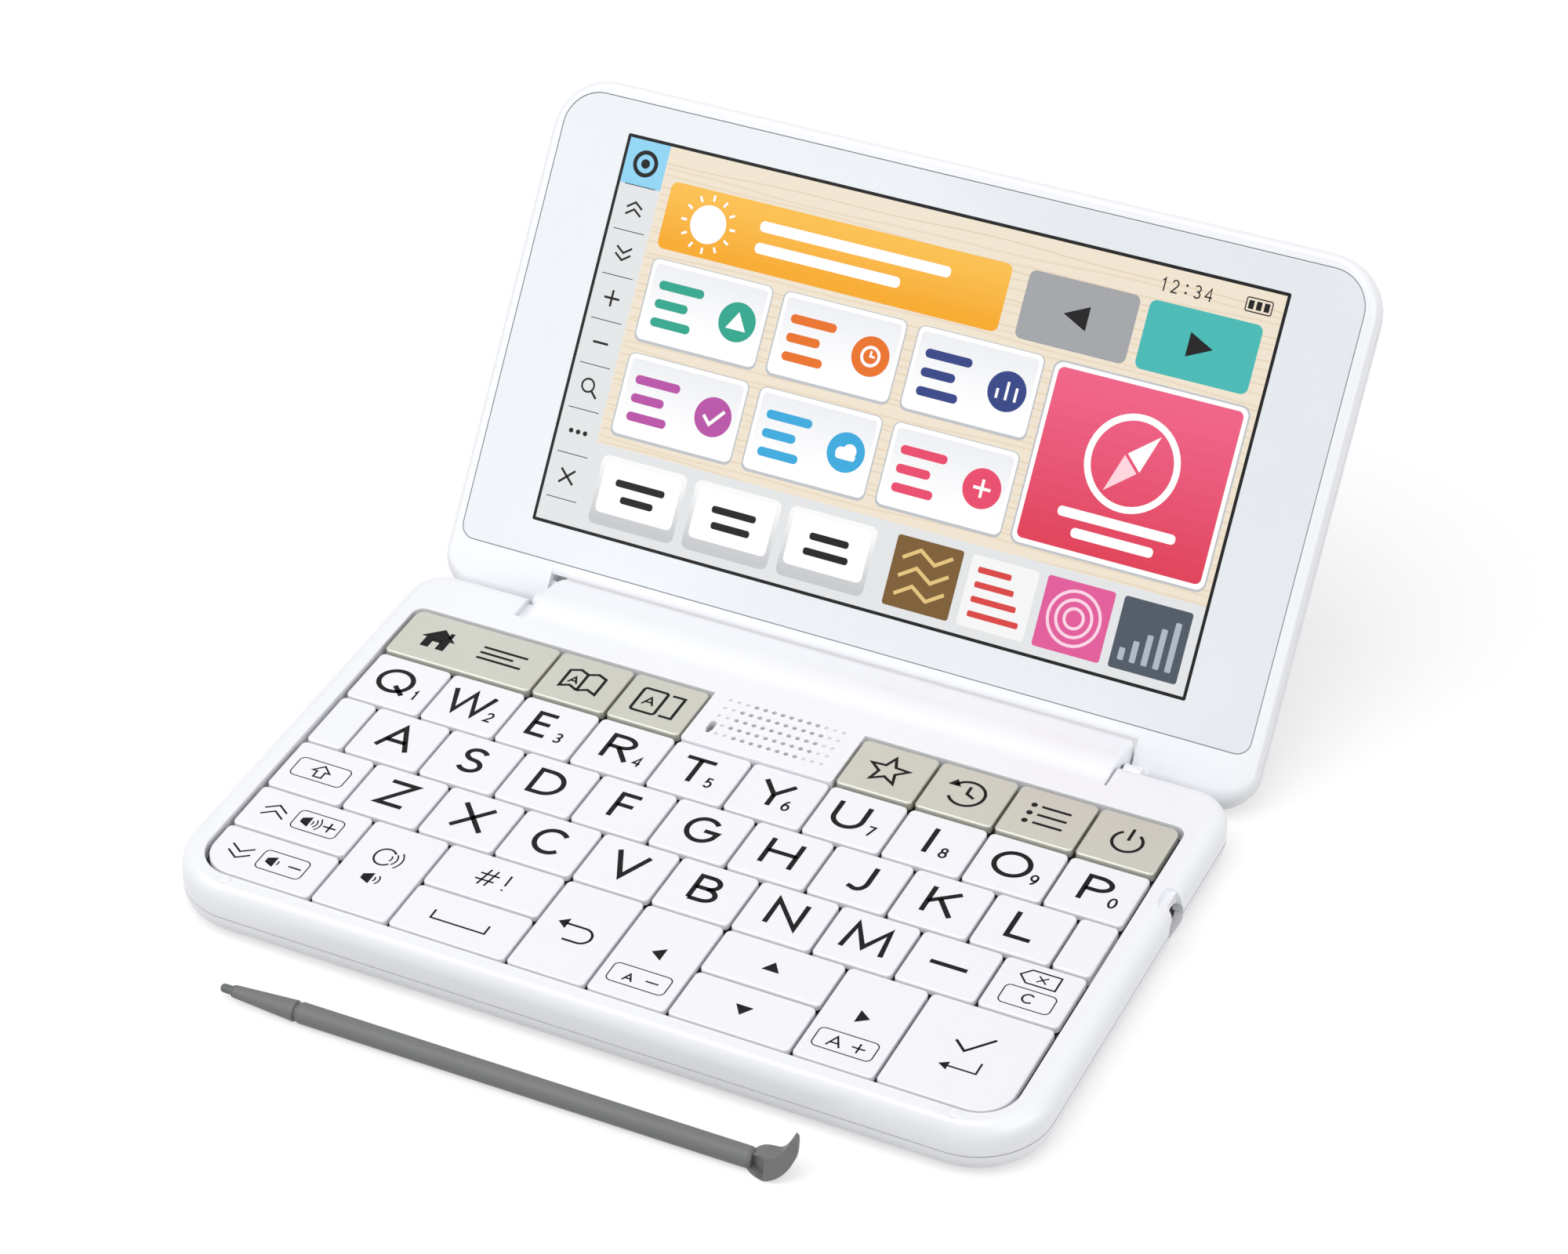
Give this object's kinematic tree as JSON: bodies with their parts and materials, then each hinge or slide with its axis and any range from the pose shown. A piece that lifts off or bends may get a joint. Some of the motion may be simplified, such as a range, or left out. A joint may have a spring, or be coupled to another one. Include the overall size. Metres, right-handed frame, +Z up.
{
  "type": "electronic dictionary",
  "caption": "Clamshell electronic dictionary with a colour touch screen in the lid, a letter keyboard, a speaker grille and a separate stylus.",
  "frame": {"origin": "middle of the flat underside of the base, level with the case and above its feet", "axes": "+Z up, -Y towards the reader at the front edge, +X to the reader's right, hinge axis along X"},
  "size_m": [0.1444, 0.1586, 0.0741],
  "materials": {
    "white_shell": "gloss",
    "key_white": "satin",
    "key_champagne": "metallic paint",
    "stylus_grey": "satin",
    "window": "hard-coated film",
    "screen": "display",
    "steel": "turned",
    "board": "solder mask",
    "mat_rubber": "moulded",
    "pack_wrap": "foil",
    "speaker_black": "matte"
  },
  "bodies": {
    "base": {"base_upper_case": "white_shell", "base_lower_case": "white_shell", "battery_cover": "white_shell", "battery_pack": "pack_wrap", "main_board": "board", "key_mat": "mat_rubber", "speaker": "speaker_black"},
    "lid": {"lid_bezel": "white_shell", "lid_back_cover": "white_shell", "touch_window": "window", "screen_module": "screen", "hinge_shaft": "steel"},
    "stylus": {"stylus": "stylus_grey"},
    "key_home": {"key_home": "key_champagne"},
    "key_words_a": {"key_words_a": "key_champagne"},
    "key_words_b": {"key_words_b": "key_champagne"},
    "key_my_books": {"key_my_books": "key_champagne"},
    "key_history": {"key_history": "key_champagne"},
    "key_list": {"key_list": "key_champagne"},
    "key_power": {"key_power": "key_champagne"},
    "key_q": {"key_q": "key_white"},
    "key_w": {"key_w": "key_white"},
    "key_e": {"key_e": "key_white"},
    "key_r": {"key_r": "key_white"},
    "key_t": {"key_t": "key_white"},
    "key_y": {"key_y": "key_white"},
    "key_u": {"key_u": "key_white"},
    "key_i": {"key_i": "key_white"},
    "key_o": {"key_o": "key_white"},
    "key_p": {"key_p": "key_white"},
    "key_a": {"key_a": "key_white"},
    "key_s": {"key_s": "key_white"},
    "key_d": {"key_d": "key_white"},
    "key_f": {"key_f": "key_white"},
    "key_g": {"key_g": "key_white"},
    "key_h": {"key_h": "key_white"},
    "key_j": {"key_j": "key_white"},
    "key_k": {"key_k": "key_white"},
    "key_l": {"key_l": "key_white"},
    "key_shift": {"key_shift": "key_white"},
    "key_z": {"key_z": "key_white"},
    "key_x": {"key_x": "key_white"},
    "key_c": {"key_c": "key_white"},
    "key_v": {"key_v": "key_white"},
    "key_b": {"key_b": "key_white"},
    "key_n": {"key_n": "key_white"},
    "key_m": {"key_m": "key_white"},
    "key_dash": {"key_dash": "key_white"},
    "key_delete": {"key_delete": "key_white"},
    "key_page_down": {"key_page_down": "key_white"},
    "key_page_up": {"key_page_up": "key_white"},
    "key_voice": {"key_voice": "key_white"},
    "key_space": {"key_space": "key_white"},
    "key_symbol": {"key_symbol": "key_white"},
    "key_back": {"key_back": "key_white"},
    "key_left": {"key_left": "key_white"},
    "key_down": {"key_down": "key_white"},
    "key_up": {"key_up": "key_white"},
    "key_right": {"key_right": "key_white"},
    "key_enter": {"key_enter": "key_white"}
  },
  "joints": [
    {"name": "lid_hinge", "type": "hinge", "parent": "base", "child": "lid", "pos_m": [0, 0.0405, 0.0063], "axis": [1, 0, 0], "range_deg": [0, 126.46]},
    {"name": "stylus_lift", "type": "slide", "parent": "base", "child": "stylus", "axis": [0, 0, 1], "range_m": [0, 0.04]},
    {"name": "key_home_press", "type": "slide", "parent": "base", "child": "key_home", "axis": [0, 0, -1], "range_m": [0, 0.0006], "stiffness_N_per_m": 500, "springref_m": -0.0004},
    {"name": "key_words_a_press", "type": "slide", "parent": "base", "child": "key_words_a", "axis": [0, 0, -1], "range_m": [0, 0.0006], "stiffness_N_per_m": 500, "springref_m": -0.0004},
    {"name": "key_words_b_press", "type": "slide", "parent": "base", "child": "key_words_b", "axis": [0, 0, -1], "range_m": [0, 0.0006], "stiffness_N_per_m": 500, "springref_m": -0.0004},
    {"name": "key_my_books_press", "type": "slide", "parent": "base", "child": "key_my_books", "axis": [0, 0, -1], "range_m": [0, 0.0006], "stiffness_N_per_m": 500, "springref_m": -0.0004},
    {"name": "key_history_press", "type": "slide", "parent": "base", "child": "key_history", "axis": [0, 0, -1], "range_m": [0, 0.0006], "stiffness_N_per_m": 500, "springref_m": -0.0004},
    {"name": "key_list_press", "type": "slide", "parent": "base", "child": "key_list", "axis": [0, 0, -1], "range_m": [0, 0.0006], "stiffness_N_per_m": 500, "springref_m": -0.0004},
    {"name": "key_power_press", "type": "slide", "parent": "base", "child": "key_power", "axis": [0, 0, -1], "range_m": [0, 0.0006], "stiffness_N_per_m": 500, "springref_m": -0.0004},
    {"name": "key_q_press", "type": "slide", "parent": "base", "child": "key_q", "axis": [0, 0, -1], "range_m": [0, 0.0006], "stiffness_N_per_m": 500, "springref_m": -0.0004},
    {"name": "key_w_press", "type": "slide", "parent": "base", "child": "key_w", "axis": [0, 0, -1], "range_m": [0, 0.0006], "stiffness_N_per_m": 500, "springref_m": -0.0004},
    {"name": "key_e_press", "type": "slide", "parent": "base", "child": "key_e", "axis": [0, 0, -1], "range_m": [0, 0.0006], "stiffness_N_per_m": 500, "springref_m": -0.0004},
    {"name": "key_r_press", "type": "slide", "parent": "base", "child": "key_r", "axis": [0, 0, -1], "range_m": [0, 0.0006], "stiffness_N_per_m": 500, "springref_m": -0.0004},
    {"name": "key_t_press", "type": "slide", "parent": "base", "child": "key_t", "axis": [0, 0, -1], "range_m": [0, 0.0006], "stiffness_N_per_m": 500, "springref_m": -0.0004},
    {"name": "key_y_press", "type": "slide", "parent": "base", "child": "key_y", "axis": [0, 0, -1], "range_m": [0, 0.0006], "stiffness_N_per_m": 500, "springref_m": -0.0004},
    {"name": "key_u_press", "type": "slide", "parent": "base", "child": "key_u", "axis": [0, 0, -1], "range_m": [0, 0.0006], "stiffness_N_per_m": 500, "springref_m": -0.0004},
    {"name": "key_i_press", "type": "slide", "parent": "base", "child": "key_i", "axis": [0, 0, -1], "range_m": [0, 0.0006], "stiffness_N_per_m": 500, "springref_m": -0.0004},
    {"name": "key_o_press", "type": "slide", "parent": "base", "child": "key_o", "axis": [0, 0, -1], "range_m": [0, 0.0006], "stiffness_N_per_m": 500, "springref_m": -0.0004},
    {"name": "key_p_press", "type": "slide", "parent": "base", "child": "key_p", "axis": [0, 0, -1], "range_m": [0, 0.0006], "stiffness_N_per_m": 500, "springref_m": -0.0004},
    {"name": "key_a_press", "type": "slide", "parent": "base", "child": "key_a", "axis": [0, 0, -1], "range_m": [0, 0.0006], "stiffness_N_per_m": 500, "springref_m": -0.0004},
    {"name": "key_s_press", "type": "slide", "parent": "base", "child": "key_s", "axis": [0, 0, -1], "range_m": [0, 0.0006], "stiffness_N_per_m": 500, "springref_m": -0.0004},
    {"name": "key_d_press", "type": "slide", "parent": "base", "child": "key_d", "axis": [0, 0, -1], "range_m": [0, 0.0006], "stiffness_N_per_m": 500, "springref_m": -0.0004},
    {"name": "key_f_press", "type": "slide", "parent": "base", "child": "key_f", "axis": [0, 0, -1], "range_m": [0, 0.0006], "stiffness_N_per_m": 500, "springref_m": -0.0004},
    {"name": "key_g_press", "type": "slide", "parent": "base", "child": "key_g", "axis": [0, 0, -1], "range_m": [0, 0.0006], "stiffness_N_per_m": 500, "springref_m": -0.0004},
    {"name": "key_h_press", "type": "slide", "parent": "base", "child": "key_h", "axis": [0, 0, -1], "range_m": [0, 0.0006], "stiffness_N_per_m": 500, "springref_m": -0.0004},
    {"name": "key_j_press", "type": "slide", "parent": "base", "child": "key_j", "axis": [0, 0, -1], "range_m": [0, 0.0006], "stiffness_N_per_m": 500, "springref_m": -0.0004},
    {"name": "key_k_press", "type": "slide", "parent": "base", "child": "key_k", "axis": [0, 0, -1], "range_m": [0, 0.0006], "stiffness_N_per_m": 500, "springref_m": -0.0004},
    {"name": "key_l_press", "type": "slide", "parent": "base", "child": "key_l", "axis": [0, 0, -1], "range_m": [0, 0.0006], "stiffness_N_per_m": 500, "springref_m": -0.0004},
    {"name": "key_shift_press", "type": "slide", "parent": "base", "child": "key_shift", "axis": [0, 0, -1], "range_m": [0, 0.0006], "stiffness_N_per_m": 500, "springref_m": -0.0004},
    {"name": "key_z_press", "type": "slide", "parent": "base", "child": "key_z", "axis": [0, 0, -1], "range_m": [0, 0.0006], "stiffness_N_per_m": 500, "springref_m": -0.0004},
    {"name": "key_x_press", "type": "slide", "parent": "base", "child": "key_x", "axis": [0, 0, -1], "range_m": [0, 0.0006], "stiffness_N_per_m": 500, "springref_m": -0.0004},
    {"name": "key_c_press", "type": "slide", "parent": "base", "child": "key_c", "axis": [0, 0, -1], "range_m": [0, 0.0006], "stiffness_N_per_m": 500, "springref_m": -0.0004},
    {"name": "key_v_press", "type": "slide", "parent": "base", "child": "key_v", "axis": [0, 0, -1], "range_m": [0, 0.0006], "stiffness_N_per_m": 500, "springref_m": -0.0004},
    {"name": "key_b_press", "type": "slide", "parent": "base", "child": "key_b", "axis": [0, 0, -1], "range_m": [0, 0.0006], "stiffness_N_per_m": 500, "springref_m": -0.0004},
    {"name": "key_n_press", "type": "slide", "parent": "base", "child": "key_n", "axis": [0, 0, -1], "range_m": [0, 0.0006], "stiffness_N_per_m": 500, "springref_m": -0.0004},
    {"name": "key_m_press", "type": "slide", "parent": "base", "child": "key_m", "axis": [0, 0, -1], "range_m": [0, 0.0006], "stiffness_N_per_m": 500, "springref_m": -0.0004},
    {"name": "key_dash_press", "type": "slide", "parent": "base", "child": "key_dash", "axis": [0, 0, -1], "range_m": [0, 0.0006], "stiffness_N_per_m": 500, "springref_m": -0.0004},
    {"name": "key_delete_press", "type": "slide", "parent": "base", "child": "key_delete", "axis": [0, 0, -1], "range_m": [0, 0.0006], "stiffness_N_per_m": 500, "springref_m": -0.0004},
    {"name": "key_page_down_press", "type": "slide", "parent": "base", "child": "key_page_down", "axis": [0, 0, -1], "range_m": [0, 0.0006], "stiffness_N_per_m": 500, "springref_m": -0.0004},
    {"name": "key_page_up_press", "type": "slide", "parent": "base", "child": "key_page_up", "axis": [0, 0, -1], "range_m": [0, 0.0006], "stiffness_N_per_m": 500, "springref_m": -0.0004},
    {"name": "key_voice_press", "type": "slide", "parent": "base", "child": "key_voice", "axis": [0, 0, -1], "range_m": [0, 0.0006], "stiffness_N_per_m": 500, "springref_m": -0.0004},
    {"name": "key_space_press", "type": "slide", "parent": "base", "child": "key_space", "axis": [0, 0, -1], "range_m": [0, 0.0006], "stiffness_N_per_m": 500, "springref_m": -0.0004},
    {"name": "key_symbol_press", "type": "slide", "parent": "base", "child": "key_symbol", "axis": [0, 0, -1], "range_m": [0, 0.0006], "stiffness_N_per_m": 500, "springref_m": -0.0004},
    {"name": "key_back_press", "type": "slide", "parent": "base", "child": "key_back", "axis": [0, 0, -1], "range_m": [0, 0.0006], "stiffness_N_per_m": 500, "springref_m": -0.0004},
    {"name": "key_left_press", "type": "slide", "parent": "base", "child": "key_left", "axis": [0, 0, -1], "range_m": [0, 0.0006], "stiffness_N_per_m": 500, "springref_m": -0.0004},
    {"name": "key_down_press", "type": "slide", "parent": "base", "child": "key_down", "axis": [0, 0, -1], "range_m": [0, 0.0006], "stiffness_N_per_m": 500, "springref_m": -0.0004},
    {"name": "key_up_press", "type": "slide", "parent": "base", "child": "key_up", "axis": [0, 0, -1], "range_m": [0, 0.0006], "stiffness_N_per_m": 500, "springref_m": -0.0004},
    {"name": "key_right_press", "type": "slide", "parent": "base", "child": "key_right", "axis": [0, 0, -1], "range_m": [0, 0.0006], "stiffness_N_per_m": 500, "springref_m": -0.0004},
    {"name": "key_enter_press", "type": "slide", "parent": "base", "child": "key_enter", "axis": [0, 0, -1], "range_m": [0, 0.0006], "stiffness_N_per_m": 500, "springref_m": -0.0004}
  ]
}
